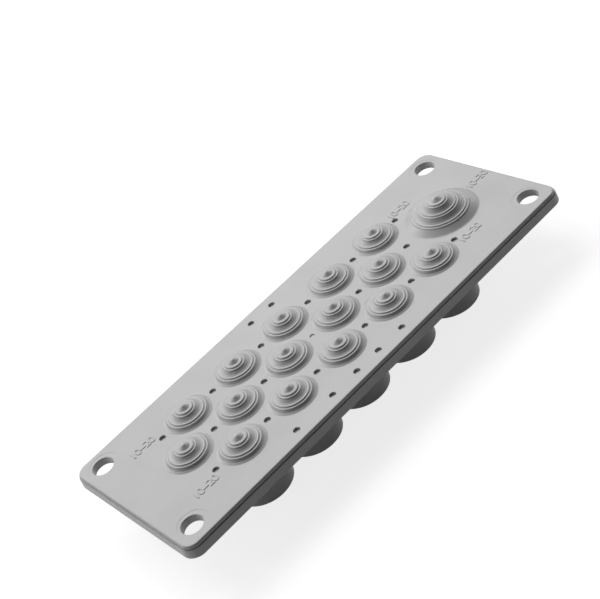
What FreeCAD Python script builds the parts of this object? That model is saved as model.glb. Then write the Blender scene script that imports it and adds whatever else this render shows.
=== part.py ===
import FreeCAD, Part
import math
import os

# Cable entry plate, one moulded piece, in mm. Its length runs along X, its front faces +Z,
# and it rests on the rims of the cups behind it at Z = 0, centred on the origin.

# Plate
PLATE_LENGTH = 225.8
PLATE_WIDTH = 86.0
PLATE_THICKNESS = 3.5
CORNER_RADIUS = 6.2
SIDE_HEIGHT = 6.0          # from the front down to the edge of the rim behind it
SIDE_DRAFT = 0.3           # how much wider the side is at that edge than at the parting line
PARTING_DEPTH = 1.7        # from the front down to the parting line
PARTING_STEP = 0.5         # how far the side stands out at that line, as a narrow ledge
PARTING_BEVEL = 0.45       # how far the edge above that line is cut back
FACE_ROUNDING = 0.9

# Rim, groove and bead round the back
RIM_WIDTH = 1.6
RIM_BEVEL = 0.4
GROOVE_WIDTH = 1.3
BEAD_WIDTH = 1.5
BEAD_HEIGHT = 1.0
BEAD_BEVEL = 0.4

# Fixing holes
HOLE_SPACING_X = 205.0
HOLE_SPACING_Y = 65.0
HOLE_RADIUS = 4.8
HOLE_CHAMFER = 0.3
PAD_RADIUS = 7.0
PAD_SHIFT = 0.6            # the pad lies this much nearer the middle than its hole
PAD_DEPTH = 0.06

# Places of the cable entries
SMALL_PER_ROW = 5
PITCH = 29.45
ROW_SPACING = 19.0
OUTER_ROW_START = -63.7    # the middle row starts half a pitch before this
LARGE_X = 79.7

# Cups behind the entries
CUP_HEIGHT = 22.8          # from the front of the plate to the rims
CUP_DEPTH = 9.8            # from a rim to the floor in the cup
CUP_BEVEL = 0.4
FOOT_SIZE = 0.8            # bevel where a cup meets the back of the plate
SMALL_BORE_RADIUS = 11.35
SMALL_WALL = 2.05
LARGE_BORE_RADIUS = 17.65
LARGE_WALL = 1.6

# Pairs of round marks in the webs between the cups
MARK_RADIUS = 1.5
MARK_SPACING = 6.4
MARK_DEPTH = 0.4
END_MARK_SHIFT = 1.9       # the last pair lies this much nearer the large cup

# Stepped membranes: each tier is a slope, a short wall up to a lip, and a narrow step
SMALL_BASE_RADIUS = 11.2
SMALL_FOOT = (10.25, 0.22) # where the foot of a small membrane turns steeper
SMALL_LIPS = [(9.2, 1.45), (5.0, 3.55)]      # radius and height of the lower lip of each tier
LARGE_BASE_RADIUS = 17.4
LARGE_FOOT = (16.9, 0.12)
LARGE_LIPS = [(13.45, 2.3), (9.35, 4.8), (5.25, 7.3)]
WALL_RUN = 0.35
WALL_RISE = 0.55
LAND_RUN = 0.7             # flat part inside each lip
STEP_RUN = 0.38
STEP_RISE = 0.55
BEND_RUN = 0.45            # where an upper slope turns steeper, as a share of its run
BEND_RISE = 0.3            # and as a share of its rise
TIP_LAND = 1.4             # flat part round the foot of the tip
TIP_RISE = 1.25
TIP_RADIUS = 0.4           # of the small flat at the top of the tip

# Blind pin holes in the front
PIN_RADIUS = 1.6
PIN_DEPTH = 1.0
END_PIN_SHIFT = 1.1        # the last pin holes of the outer rows lie this much nearer the others
UPPER_PIN_Y = 35.5
UPPER_PIN_X = [-11.5, 1.5]
LOWER_PIN_Y = -35.7
LOWER_PIN_X = [-47.0, -26.0, -11.5, 1.5, 16.0]
GATE_RADIUS = 1.2
GATE_DEPTH = 0.4

# Block on the outside of the middle cup of the lower row
BLOCK_WIDTH = 19.0
BLOCK_HEIGHT = 6.7
BLOCK_REACH = 0.8          # how far its foot stands out past the cup
BLOCK_TAPER = 1.6          # how much less far its top edge stands out

# Ring marks on the back
RING_MARK_RADIUS = 3.1
RING_MARK_WIDTH = 0.4
RING_MARK_DEPTH = 0.2
RING_MARK_PLACES = [(-98.5, 0.0), (-86.0, -20.5)]

# Heights that follow
FACE_Z = CUP_HEIGHT
FLOOR_Z = FACE_Z - PLATE_THICKNESS
EDGE_Z = FACE_Z - SIDE_HEIGHT
PARTING_Z = FACE_Z - PARTING_DEPTH
SMALL_CUP_RADIUS = SMALL_BORE_RADIUS + SMALL_WALL
LARGE_CUP_RADIUS = LARGE_BORE_RADIUS + LARGE_WALL


def at(x, y, z):
    return FreeCAD.Vector(x, y, z)


def row_places(start, y):
    return [(start + i * PITCH, y) for i in range(SMALL_PER_ROW)]


UPPER_ROW = row_places(OUTER_ROW_START, ROW_SPACING)
MIDDLE_ROW = row_places(OUTER_ROW_START - PITCH / 2, 0.0)
LOWER_ROW = row_places(OUTER_ROW_START, -ROW_SPACING)
SMALL_PLACES = UPPER_ROW + MIDDLE_ROW + LOWER_ROW
WEB_X = [x for x, y in UPPER_ROW[:-1]] + [UPPER_ROW[-1][0] + END_MARK_SHIFT]
LARGE_PLACE = (LARGE_X, 0.0)


def edges_at(shape, z):
    """The edges of a shape that lie wholly at one height."""
    box = [(edge, edge.BoundBox) for edge in shape.Edges]
    return [edge for edge, b in box if abs(b.ZMin - z) < 0.001 and abs(b.ZMax - z) < 0.001]


def rounded_outline(inset, z):
    """The plate's outline at one height, drawn in by an inset."""
    x = PLATE_LENGTH / 2 - CORNER_RADIUS
    y = PLATE_WIDTH / 2 - CORNER_RADIUS
    radius = CORNER_RADIUS - inset
    centres = [at(x, y, z), at(-x, y, z), at(-x, -y, z), at(x, -y, z)]
    arcs = [Part.makeCircle(radius, c, at(0, 0, 1), 90 * i, 90 * i + 90) for i, c in enumerate(centres)]
    lines = [Part.makeLine(arcs[i - 1].Vertexes[-1].Point, arcs[i].Vertexes[0].Point) for i in range(4)]
    return Part.Wire([edge for pair in zip(lines, arcs) for edge in pair])


def rounded_slab(inset, bottom, top):
    return Part.Face(rounded_outline(inset, bottom)).extrude(at(0, 0, top - bottom))


def make_plate():
    """The plate with its parting line and, behind it, the rim, groove and bead."""
    upper = rounded_slab(SIDE_DRAFT + PARTING_STEP, PARTING_Z, FACE_Z)
    upper = upper.makeFillet(FACE_ROUNDING, edges_at(upper, FACE_Z))
    upper = upper.makeChamfer(PARTING_BEVEL, edges_at(upper, PARTING_Z))
    drafted = [rounded_outline(0.0, EDGE_Z + RIM_BEVEL), rounded_outline(SIDE_DRAFT, PARTING_Z)]
    bevelled = [rounded_outline(RIM_BEVEL, EDGE_Z), rounded_outline(0.0, EDGE_Z + RIM_BEVEL)]
    lower = Part.makeLoft(drafted, True, True).fuse(Part.makeLoft(bevelled, True, True))
    hollow = rounded_slab(RIM_WIDTH, EDGE_Z, FLOOR_Z)
    bead_inset = RIM_WIDTH + GROOVE_WIDTH
    bead = rounded_slab(bead_inset, FLOOR_Z - BEAD_HEIGHT, FLOOR_Z)
    bead = bead.cut(rounded_slab(bead_inset + BEAD_WIDTH, FLOOR_Z - BEAD_HEIGHT, FLOOR_Z))
    bead = bead.makeChamfer(BEAD_BEVEL, edges_at(bead, FLOOR_Z - BEAD_HEIGHT))
    return upper.fuse(lower).cut(hollow).fuse(bead)


def make_web(left, top, right, bottom):
    """The filled space between four neighbouring cups, drawn through their centres."""
    corners = [at(x, y, 0) for x, y in (left, top, right, bottom, left)]
    return Part.Face(Part.makePolygon(corners)).extrude(at(0, 0, FLOOR_Z + PLATE_THICKNESS / 2))


def make_cup(place, radius):
    """The outside of one cup as a solid, bevelled at its rim."""
    x, y = place
    height = FLOOR_Z + PLATE_THICKNESS / 2
    rim = Part.makeCone(radius - CUP_BEVEL, radius, CUP_BEVEL, at(x, y, 0))
    return rim.fuse(Part.makeCylinder(radius, height - CUP_BEVEL, at(x, y, CUP_BEVEL)))


def make_bore(place, radius):
    """The inside of one cup, bevelled at its mouth."""
    x, y = place
    mouth = Part.makeCone(radius + CUP_BEVEL, radius, CUP_BEVEL, at(x, y, 0))
    return mouth.fuse(Part.makeCylinder(radius, CUP_DEPTH - CUP_BEVEL, at(x, y, CUP_BEVEL)))


def make_cups():
    """All cups with their shared walls and webs, and their bores cut."""
    cups = [make_cup(place, SMALL_CUP_RADIUS) for place in SMALL_PLACES]
    cups.append(make_cup(LARGE_PLACE, LARGE_CUP_RADIUS))
    middle = MIDDLE_ROW + [LARGE_PLACE]
    webs = [make_web(middle[i], UPPER_ROW[i], middle[i + 1], LOWER_ROW[i]) for i in range(SMALL_PER_ROW)]
    bores = [make_bore(place, SMALL_BORE_RADIUS) for place in SMALL_PLACES]
    bores.append(make_bore(LARGE_PLACE, LARGE_BORE_RADIUS))
    return cups[0].multiFuse(cups[1:] + webs).removeSplitter().cut(Part.makeCompound(bores))


def make_feet():
    """The bevel round the foot of each cup."""
    places = [(place, SMALL_CUP_RADIUS) for place in SMALL_PLACES] + [(LARGE_PLACE, LARGE_CUP_RADIUS)]
    bottom = FLOOR_Z - FOOT_SIZE
    return [Part.makeCone(r, r + FOOT_SIZE, FOOT_SIZE, at(x, y, bottom)) for (x, y), r in places]


def make_block():
    """The low block on the outside of the lower row's middle cup."""
    x, y = LOWER_ROW[SMALL_PER_ROW // 2]
    foot_y = y - SMALL_CUP_RADIUS - BLOCK_REACH
    top_y = foot_y + BLOCK_TAPER
    inner_y = y - math.sqrt(SMALL_CUP_RADIUS ** 2 - (BLOCK_WIDTH / 2) ** 2)
    top = FLOOR_Z - BLOCK_HEIGHT
    section = [(foot_y, FLOOR_Z), (top_y, top), (inner_y, top), (inner_y, FLOOR_Z), (foot_y, FLOOR_Z)]
    outline = [at(x - BLOCK_WIDTH / 2, py, pz) for py, pz in section]
    return Part.Face(Part.makePolygon(outline)).extrude(at(BLOCK_WIDTH, 0, 0))


def membrane_profile(base_radius, foot, lips):
    """Radius and height of each corner of a stepped membrane, from its foot to its middle."""
    points = [(base_radius, 0.0), foot]
    for radius, height in lips:
        start_radius, start_height = points[-1]
        foot_radius = radius + WALL_RUN
        foot_height = height - WALL_RISE
        if points[-1] != foot:
            bend_radius = start_radius + (foot_radius - start_radius) * BEND_RUN
            bend_height = start_height + (foot_height - start_height) * BEND_RISE
            points.append((bend_radius, bend_height))
        land_end = radius - LAND_RUN
        step_end = land_end - STEP_RUN
        top = height + STEP_RISE
        inner_land = TIP_LAND if radius == lips[-1][0] else LAND_RUN
        points += [(foot_radius, foot_height), (radius, height), (land_end, height)]
        points += [(step_end, top), (step_end - inner_land, top)]
    tip = points[-1][1] + TIP_RISE
    return points + [(TIP_RADIUS, tip), (0.0, tip)]


def make_membrane(place, base_radius, foot, lips):
    """One stepped membrane on the front, sunk into the plate a little so that they join."""
    x, y = place
    root = PLATE_THICKNESS / 2
    profile = [(0.0, -root), (base_radius, -root)]
    profile += membrane_profile(base_radius, foot, lips)
    corners = [at(x + r, y, FACE_Z + h) for r, h in profile]
    face = Part.Face(Part.makePolygon(corners + corners[:1]))
    return face.revolve(at(x, y, 0), at(0, 0, 1), 360)


def make_membranes():
    small = [make_membrane(place, SMALL_BASE_RADIUS, SMALL_FOOT, SMALL_LIPS) for place in SMALL_PLACES]
    large = make_membrane(LARGE_PLACE, LARGE_BASE_RADIUS, LARGE_FOOT, LARGE_LIPS)
    return small + [large]


def make_fixing_cuts():
    """The four fixing holes, bevelled at the front, where a shallow round pad lies about each."""
    cuts = []
    for side_x in (-1, 1):
        for side_y in (-1, 1):
            x = side_x * HOLE_SPACING_X / 2
            y = side_y * HOLE_SPACING_Y / 2
            bevel = Part.makeCone(HOLE_RADIUS, HOLE_RADIUS + HOLE_CHAMFER, HOLE_CHAMFER,
                                  at(x, y, FACE_Z - PAD_DEPTH - HOLE_CHAMFER))
            hole = Part.makeCylinder(HOLE_RADIUS, PLATE_THICKNESS, at(x, y, FLOOR_Z))
            pad_x = x - side_x * PAD_SHIFT
            front_pad = Part.makeCylinder(PAD_RADIUS, PAD_DEPTH, at(pad_x, y, FACE_Z - PAD_DEPTH))
            cuts += [hole, bevel, front_pad]
    return cuts


def make_pin_cuts():
    """The blind pin holes and the shallow mark in the middle of the front."""
    between = [OUTER_ROW_START + (i - 0.5) * PITCH for i in range(SMALL_PER_ROW + 1)]
    between[-1] -= END_PIN_SHIFT
    places = [(x, side * ROW_SPACING) for x in between for side in (-1, 1)]
    gate = WEB_X[SMALL_PER_ROW // 2]
    places += [(x, 0.0) for x in WEB_X if x != gate]
    places += [(x, UPPER_PIN_Y) for x in UPPER_PIN_X]
    places += [(x, LOWER_PIN_Y) for x in LOWER_PIN_X]
    cuts = [Part.makeCylinder(PIN_RADIUS, PIN_DEPTH, at(x, y, FACE_Z - PIN_DEPTH)) for x, y in places]
    cuts.append(Part.makeCylinder(GATE_RADIUS, GATE_DEPTH, at(gate, 0, FACE_Z - GATE_DEPTH)))
    return cuts


def make_back_marks():
    """The round marks in the webs and the ring marks on the back of the plate."""
    cuts = []
    for x in WEB_X:
        for side in (-1, 1):
            cuts.append(Part.makeCylinder(MARK_RADIUS, MARK_DEPTH, at(x, side * MARK_SPACING / 2, 0)))
    for x, y in RING_MARK_PLACES:
        inner = Part.makeCylinder(RING_MARK_RADIUS - RING_MARK_WIDTH, RING_MARK_DEPTH, at(x, y, FLOOR_Z))
        cuts.append(Part.makeCylinder(RING_MARK_RADIUS, RING_MARK_DEPTH, at(x, y, FLOOR_Z)).cut(inner))
    return cuts


def make_entry_plate():
    body = make_plate().multiFuse([make_cups(), make_block()] + make_feet() + make_membranes())
    body = body.cut(Part.makeCompound(make_fixing_cuts()))
    body = body.cut(Part.makeCompound(make_pin_cuts() + make_back_marks()))
    return body.removeSplitter().Solids[0]


os.makedirs("parts", exist_ok=True)
plate = make_entry_plate()
plate.exportStep("parts/entry_plate.step")
print("valid", plate.isValid(), "faces", len(plate.Faces), "volume cm3", round(plate.Volume / 1000, 1))
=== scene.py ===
import bmesh
import bpy
import math
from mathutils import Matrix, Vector


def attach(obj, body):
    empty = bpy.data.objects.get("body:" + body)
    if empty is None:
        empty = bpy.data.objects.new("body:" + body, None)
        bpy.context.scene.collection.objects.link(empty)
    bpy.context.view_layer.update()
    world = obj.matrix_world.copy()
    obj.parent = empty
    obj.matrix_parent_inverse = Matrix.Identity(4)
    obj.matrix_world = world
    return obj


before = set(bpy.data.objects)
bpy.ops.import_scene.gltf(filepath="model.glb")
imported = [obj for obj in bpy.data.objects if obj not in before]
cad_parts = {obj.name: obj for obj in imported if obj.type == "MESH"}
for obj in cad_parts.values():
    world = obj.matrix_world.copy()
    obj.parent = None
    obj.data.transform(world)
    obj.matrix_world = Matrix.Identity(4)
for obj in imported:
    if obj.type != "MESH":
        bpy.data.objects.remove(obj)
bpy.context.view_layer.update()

# Camera
CAMERA_PLACE = (-0.2141, -0.4369, 0.3807)    # metres
CAMERA_TURN = (51.797, 22.203, -42.455)      # degrees about X, Y and Z
CAMERA_SENSOR = 36.0                         # mm
CAMERA_LENS = 85.35                          # mm

# Cable entries, in mm on the plate's face
FACE_Z = 22.8
PITCH = 29.45
ROW_SPACING = 19.0
OUTER_ROW_START = -63.7
SMALL_PER_ROW = 5
LARGE_X = 79.7

# Stepped membranes, in mm: each tier is a slope, a short wall up to a lip, and a narrow step
SMALL_BASE_RADIUS = 11.2
SMALL_FOOT = (10.1, 0.37)  # where the foot of a small membrane turns steeper
SMALL_LIPS = [(9.2, 1.45), (5.0, 3.55)]      # radius and height of the lower lip of each tier
LARGE_BASE_RADIUS = 17.4
LARGE_FOOT = (16.9, 0.12)
LARGE_LIPS = [(13.45, 2.3), (9.35, 4.8), (5.25, 7.3)]
WALL_RUN = 0.35
WALL_RISE = 0.55
LAND_RUN = 0.7             # flat part inside each lip
STEP_RUN = 0.38
STEP_RISE = 0.55
BEND_RUN = 0.45            # where an upper slope turns steeper, as a share of its run
BEND_RISE = 0.3            # and as a share of its rise
TIP_LAND = 1.4             # nearly flat part round the foot of the tip
TIP_LAND_RISE = 0.1
TIP_RISE = 1.35
TIP_DOME = [(0.75, 0.16), (0.35, 0.03), (0.0, 0.0)]     # radius of each corner, and its depth under the tip

# Soft skin over each membrane, in mm
SKIN_RISE = 0.06           # how far it stands above the solid
FOOT_REACH = 0.25          # how far outside its foot it dips into the plate
FOOT_DIP = 1.3             # and how deep, as a multiple of its rise
LIP_ROUNDING = 0.12
HOLLOW_ROUNDING = 0.25
ROUNDING_SHARE = 0.45      # the most that a rounding takes of the line beside it
ARC_STEPS = 4
TURN_STEPS = 96

# Raised size marks: the figures, and the place of their middle, in mm
SIZE_MARKS = [
    ("10–20", -86.8, 23.1),
    ("10–20", -86.8, -22.4),
    ("10–20", 73.9, 22.7),
    ("10–20", 73.9, -23.0),
    ("10–30", 104.3, 0.0),
]
MARK_SIZE = 6.0
MARK_SPACING = 0.87
MARK_HEIGHT = 0.2

# Surfaces, as seen in the photograph under plain light
MOULDING_GREY = 0.56
MOULDING_ROUGHNESS = 0.42
MOULDING_SHEEN = 0.5
CLOUD_SCALE = 55.0
CLOUD_DETAIL = 3.0
CLOUD_RANGE = (0.25, 0.6)  # of the noise
CLOUD_SHADES = (0.95, 1.01)                  # darkest and lightest, as a share of the grey
GRAIN_SCALE = 2600.0
GRAIN_STRENGTH = 0.06
GRAIN_DEPTH = 0.0001       # metres
FLOOR_GREY = 0.4
FLOOR_GLOW = 0.8           # what the camera sees of the floor where no lamp reaches it
FLOOR_REACH = 6.0          # metres, from the middle to each side

# Light: each lamp's turn about Z from +X and its height above the horizon in degrees, and its power in watts
LAMPS = {
    "high": (60, 42, 26.0),
    "middle": (100, 35, 25.0),
    "left": (150, 25, 13.0),
    "low": (20, 15, 9.5),
    "right": (345, 25, 4.5),
}
LAMP_DISTANCE = 2.4        # metres, from the plate
LAMP_SIZE = 1.2            # metres, along each side
SKY_STRENGTH = 0.02
WHITE = (1.0, 1.0, 1.0, 1.0)


def new_material(name):
    """A material, its nodes, which start as a surface shader and the output, and its links."""
    material = bpy.data.materials.new(name)
    material.use_nodes = True
    return material, material.node_tree.nodes, material.node_tree.links


def moulding_material():
    """Light grey plastic with a soft sheen, a faint grain and cloudiness."""
    material, nodes, links = new_material("moulding")
    shader = nodes["Principled BSDF"]
    shader.inputs["Roughness"].default_value = MOULDING_ROUGHNESS
    shader.inputs["Specular IOR Level"].default_value = MOULDING_SHEEN
    place = nodes.new("ShaderNodeTexCoord")
    cloud = nodes.new("ShaderNodeTexNoise")
    cloud.inputs["Scale"].default_value = CLOUD_SCALE
    cloud.inputs["Detail"].default_value = CLOUD_DETAIL
    ramp = nodes.new("ShaderNodeMapRange")
    ramp.inputs["From Min"].default_value = CLOUD_RANGE[0]
    ramp.inputs["From Max"].default_value = CLOUD_RANGE[1]
    ramp.inputs["To Min"].default_value = MOULDING_GREY * CLOUD_SHADES[0]
    ramp.inputs["To Max"].default_value = MOULDING_GREY * CLOUD_SHADES[1]
    links.new(place.outputs["Object"], cloud.inputs["Vector"])
    links.new(cloud.outputs["Fac"], ramp.inputs["Value"])
    links.new(ramp.outputs["Result"], shader.inputs["Base Color"])
    grain = nodes.new("ShaderNodeTexNoise")
    grain.inputs["Scale"].default_value = GRAIN_SCALE
    bump = nodes.new("ShaderNodeBump")
    bump.inputs["Strength"].default_value = GRAIN_STRENGTH
    bump.inputs["Distance"].default_value = GRAIN_DEPTH
    links.new(place.outputs["Object"], grain.inputs["Vector"])
    links.new(grain.outputs["Fac"], bump.inputs["Height"])
    links.new(bump.outputs["Normal"], shader.inputs["Normal"])
    return material


def mm(value):
    """A length given in mm, in metres."""
    return value / 1000


def new_piece(name, mesh, place, material):
    """A piece of the scene on the plate, in the plate's own material."""
    piece = bpy.data.objects.new(name, mesh)
    piece.location = [mm(v) for v in place]
    bpy.context.scene.collection.objects.link(piece)
    if not mesh.materials:
        mesh.materials.append(material)
    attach(piece, "root")
    return piece


def membrane_corners(base_radius, foot, lips):
    """Radius and height of each corner of a stepped membrane, from below its foot to its middle."""
    corners = [(base_radius + FOOT_REACH, -FOOT_DIP * SKIN_RISE), (base_radius, 0.0), foot]
    for radius, height in lips:
        start_radius, start_height = corners[-1]
        foot_radius = radius + WALL_RUN
        foot_height = height - WALL_RISE
        if corners[-1] != foot:
            bend_radius = start_radius + (foot_radius - start_radius) * BEND_RUN
            bend_height = start_height + (foot_height - start_height) * BEND_RISE
            corners.append((bend_radius, bend_height))
        land_end = radius - LAND_RUN
        step_end = land_end - STEP_RUN
        top = height + STEP_RISE
        inner_land = TIP_LAND if radius == lips[-1][0] else LAND_RUN
        corners += [(foot_radius, foot_height), (radius, height), (land_end, height)]
        corners += [(step_end, top), (step_end - inner_land, top)]
    tip_foot, tip_start = corners.pop()
    corners.append((tip_foot, tip_start + TIP_LAND_RISE))
    corners += [(radius, tip_start + TIP_RISE - depth) for radius, depth in TIP_DOME]
    return [Vector(corner) for corner in corners]


def rounded(corners):
    """The same outline with a curve in place of each corner."""
    points = [corners[0]]
    for before, corner, after in zip(corners, corners[1:], corners[2:]):
        back = before - corner
        ahead = after - corner
        hollow = back.x * ahead.y - back.y * ahead.x < 0
        reach = HOLLOW_ROUNDING if hollow else LIP_ROUNDING
        start = corner + back.normalized() * min(reach, back.length * ROUNDING_SHARE)
        end = corner + ahead.normalized() * min(reach, ahead.length * ROUNDING_SHARE)
        for i in range(ARC_STEPS + 1):
            t = i / ARC_STEPS
            points.append(start * (1 - t) ** 2 + corner * 2 * t * (1 - t) + end * t ** 2)
    return points + [corners[-1]]


def lathe(name, outline):
    """A mesh turned about Z from an outline of radius and height, in mm."""
    mesh = bmesh.new()
    rings = []
    angles = [2 * math.pi * i / TURN_STEPS for i in range(TURN_STEPS)]
    for point in outline[:-1]:
        ring = [(mm(point.x * math.cos(a)), mm(point.x * math.sin(a)), mm(point.y)) for a in angles]
        rings.append([mesh.verts.new(v) for v in ring])
    for outer, inner in zip(rings, rings[1:]):
        for i in range(TURN_STEPS):
            j = (i + 1) % TURN_STEPS
            mesh.faces.new((outer[i], outer[j], inner[j], inner[i]))
    apex = mesh.verts.new((0, 0, mm(outline[-1].y)))
    for i in range(TURN_STEPS):
        mesh.faces.new((rings[-1][i], rings[-1][(i + 1) % TURN_STEPS], apex))
    for face in mesh.faces:
        face.smooth = True
    result = bpy.data.meshes.new(name)
    mesh.to_mesh(result)
    mesh.free()
    return result


def make_membranes(material):
    """The soft skin of each stepped membrane."""
    small_corners = membrane_corners(SMALL_BASE_RADIUS, SMALL_FOOT, SMALL_LIPS)
    large_corners = membrane_corners(LARGE_BASE_RADIUS, LARGE_FOOT, LARGE_LIPS)
    small = lathe("small_membrane", rounded(small_corners))
    large = lathe("large_membrane", rounded(large_corners))
    for name, row in (("lower", -1), ("middle", 0), ("upper", 1)):
        start = OUTER_ROW_START - (PITCH / 2 if row == 0 else 0)
        for i in range(SMALL_PER_ROW):
            place = (start + i * PITCH, row * ROW_SPACING, FACE_Z + SKIN_RISE)
            new_piece(f"membrane_{name}_{i + 1}", small, place, material)
    new_piece("membrane_large", large, (LARGE_X, 0, FACE_Z + SKIN_RISE), material)


def make_size_marks(material):
    """Low raised figures beside the end entries."""
    for i, (words, x, y) in enumerate(SIZE_MARKS):
        curve = bpy.data.curves.new("size mark", "FONT")
        curve.body = words
        curve.size = mm(MARK_SIZE)
        curve.space_character = MARK_SPACING
        curve.extrude = mm(MARK_HEIGHT)
        curve.align_x = "CENTER"
        curve.align_y = "CENTER"
        words_object = bpy.data.objects.new("size mark", curve)
        mesh = bpy.data.meshes.new_from_object(words_object)
        bpy.data.objects.remove(words_object)
        new_piece(f"size_mark_{i + 1}", mesh, (x, y, FACE_Z), material)


def floor_material():
    """White to the camera and in reflections, with the plate's shadow, and grey to other light."""
    material, nodes, links = new_material("floor")
    shader = nodes["Principled BSDF"]
    shader.inputs["Base Color"].default_value = (FLOOR_GREY, FLOOR_GREY, FLOOR_GREY, 1.0)
    shader.inputs["Roughness"].default_value = 1.0
    shader.inputs["Specular IOR Level"].default_value = 0.0
    white = nodes.new("ShaderNodeEmission")
    white.inputs["Color"].default_value = WHITE
    white.inputs["Strength"].default_value = FLOOR_GLOW
    seen = nodes.new("ShaderNodeAddShader")
    mix = nodes.new("ShaderNodeMixShader")
    path = nodes.new("ShaderNodeLightPath")
    either = nodes.new("ShaderNodeMath")
    either.operation = "MAXIMUM"
    links.new(path.outputs["Is Camera Ray"], either.inputs[0])
    links.new(path.outputs["Is Glossy Ray"], either.inputs[1])
    links.new(either.outputs["Value"], mix.inputs["Fac"])
    links.new(shader.outputs["BSDF"], seen.inputs[0])
    links.new(white.outputs["Emission"], seen.inputs[1])
    links.new(shader.outputs["BSDF"], mix.inputs[1])
    links.new(seen.outputs["Shader"], mix.inputs[2])
    links.new(mix.outputs["Shader"], nodes["Material Output"].inputs["Surface"])
    return material


def make_stage():
    """The floor that the plate rests on."""
    mesh = bpy.data.meshes.new("floor")
    corners = [(x * FLOOR_REACH, y * FLOOR_REACH, 0) for x, y in ((-1, -1), (1, -1), (1, 1), (-1, 1))]
    mesh.from_pydata(corners, [], [(0, 1, 2, 3)])
    floor = bpy.data.objects.new("floor", mesh)
    bpy.context.scene.collection.objects.link(floor)
    mesh.materials.append(floor_material())


def make_lamp(name, turn, height, power):
    """A soft square lamp that faces the plate."""
    light = bpy.data.lights.new(name, "AREA")
    light.size = LAMP_SIZE
    light.energy = power
    lamp = bpy.data.objects.new(name, light)
    level = LAMP_DISTANCE * math.cos(math.radians(height))
    lamp.location = (
        level * math.cos(math.radians(turn)),
        level * math.sin(math.radians(turn)),
        LAMP_DISTANCE * math.sin(math.radians(height)),
    )
    lamp.rotation_euler = (-lamp.location).to_track_quat("-Z", "Y").to_euler()
    bpy.context.scene.collection.objects.link(lamp)


def make_lights():
    """Soft lamps from behind and from the sides, and a dim sky."""
    for name, values in LAMPS.items():
        make_lamp(name, *values)
    world = bpy.data.worlds.new("sky")
    world.use_nodes = True
    world.node_tree.nodes["Background"].inputs["Color"].default_value = WHITE
    world.node_tree.nodes["Background"].inputs["Strength"].default_value = SKY_STRENGTH
    bpy.context.scene.world = world


def make_camera():
    """The camera, where the photograph was taken from."""
    lens = bpy.data.cameras.new("camera")
    lens.sensor_width = CAMERA_SENSOR
    lens.lens = CAMERA_LENS
    camera = bpy.data.objects.new("camera", lens)
    camera.location = CAMERA_PLACE
    camera.rotation_euler = [math.radians(a) for a in CAMERA_TURN]
    bpy.context.scene.collection.objects.link(camera)
    bpy.context.scene.camera = camera


moulding = moulding_material()
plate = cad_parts["entry_plate"]
plate.data.materials.clear()
plate.data.materials.append(moulding)
make_membranes(moulding)
make_size_marks(moulding)
make_stage()
make_lights()
make_camera()
bpy.context.scene.view_settings.view_transform = "Standard"
